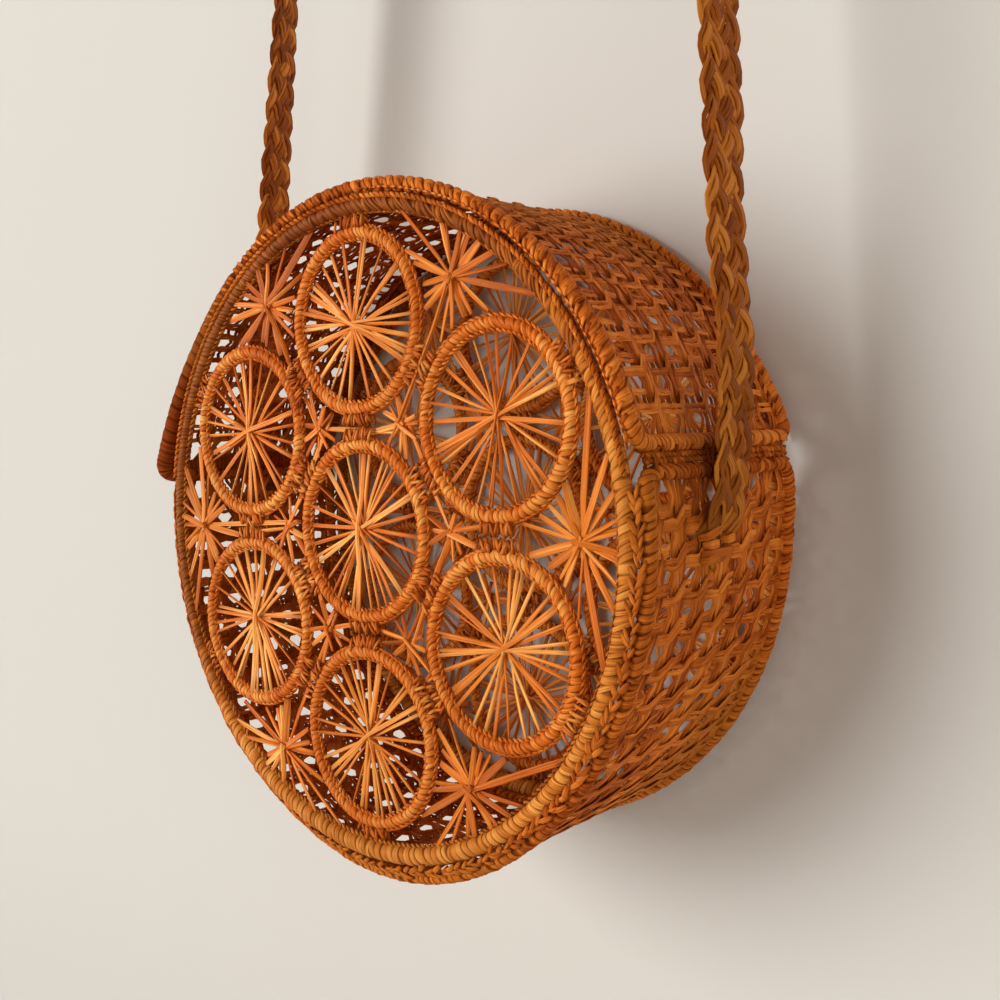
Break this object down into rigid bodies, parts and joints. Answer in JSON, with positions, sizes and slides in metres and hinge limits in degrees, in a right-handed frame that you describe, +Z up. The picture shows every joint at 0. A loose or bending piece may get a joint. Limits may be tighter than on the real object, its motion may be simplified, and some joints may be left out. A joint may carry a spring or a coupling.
{
  "type": "purse",
  "caption": "Round hand-woven palm purse with rosette panels, an openwork side wall, a laced openwork lid and a long braided strap.",
  "frame": {"origin": "inside top of the strap's loop, where it hangs, straight above the middle of the drum", "axes": "+X to the right as the front panel is seen, towards the lid's hinge, +Y to the back, +Z up"},
  "size_m": [0.224, 0.0796, 0.6684],
  "materials": {
    "deep_palm": "matte dyed palm fibre",
    "bright_palm": "satin dyed palm fibre",
    "palm_strips": "satin palm strip",
    "rim_wrap": "satin palm wrap",
    "braid": "matte braided palm fibre"
  },
  "bodies": {
    "bag": {"front_rim": "rim_wrap", "front_rosette_middle": "bright_palm", "front_rosette_1": "bright_palm", "front_rosette_2": "bright_palm", "front_rosette_3": "bright_palm", "front_rosette_4": "bright_palm", "front_rosette_5": "bright_palm", "front_rosette_6": "bright_palm", "front_outer_star_1": "palm_strips", "front_outer_star_2": "palm_strips", "front_outer_star_3": "palm_strips", "front_outer_star_4": "palm_strips", "front_outer_star_5": "palm_strips", "front_outer_star_6": "palm_strips", "front_inner_star_1": "palm_strips", "front_inner_star_2": "palm_strips", "front_inner_star_3": "palm_strips", "front_inner_star_4": "palm_strips", "front_inner_star_5": "palm_strips", "front_inner_star_6": "palm_strips", "back_rim": "rim_wrap", "back_rosette_middle": "bright_palm", "back_rosette_1": "bright_palm", "back_rosette_2": "bright_palm", "back_rosette_3": "bright_palm", "back_rosette_4": "bright_palm", "back_rosette_5": "bright_palm", "back_rosette_6": "bright_palm", "back_outer_star_1": "palm_strips", "back_outer_star_2": "palm_strips", "back_outer_star_3": "palm_strips", "back_outer_star_4": "palm_strips", "back_outer_star_5": "palm_strips", "back_outer_star_6": "palm_strips", "back_inner_star_1": "palm_strips", "back_inner_star_2": "palm_strips", "back_inner_star_3": "palm_strips", "back_inner_star_4": "palm_strips", "back_inner_star_5": "palm_strips", "back_inner_star_6": "palm_strips", "side_wall": "deep_palm", "wall_front_coil": "deep_palm", "wall_back_coil": "deep_palm", "hinge_coil": "deep_palm", "mouth_coil": "deep_palm", "strap": "braid", "strap_right_leg": "braid", "strap_bridge_right": "bright_palm", "strap_bridge_left": "bright_palm"},
    "lid": {"lid_band": "deep_palm", "lid_laced_coil": "deep_palm", "lid_free_coil": "deep_palm", "lid_front_coil": "bright_palm", "lid_back_coil": "bright_palm", "hinge_lacing_1": "palm_strips", "hinge_lacing_2": "palm_strips", "hinge_lacing_3": "palm_strips", "hinge_lacing_4": "palm_strips"}
  },
  "joints": [
    {"name": "lid_hinge", "type": "hinge", "parent": "bag", "child": "lid", "pos_m": [0.10097, 0, -0.5431], "axis": [0, 1, 0], "range_deg": [0, 80], "deforming": ["strap_right_leg"]}
  ]
}
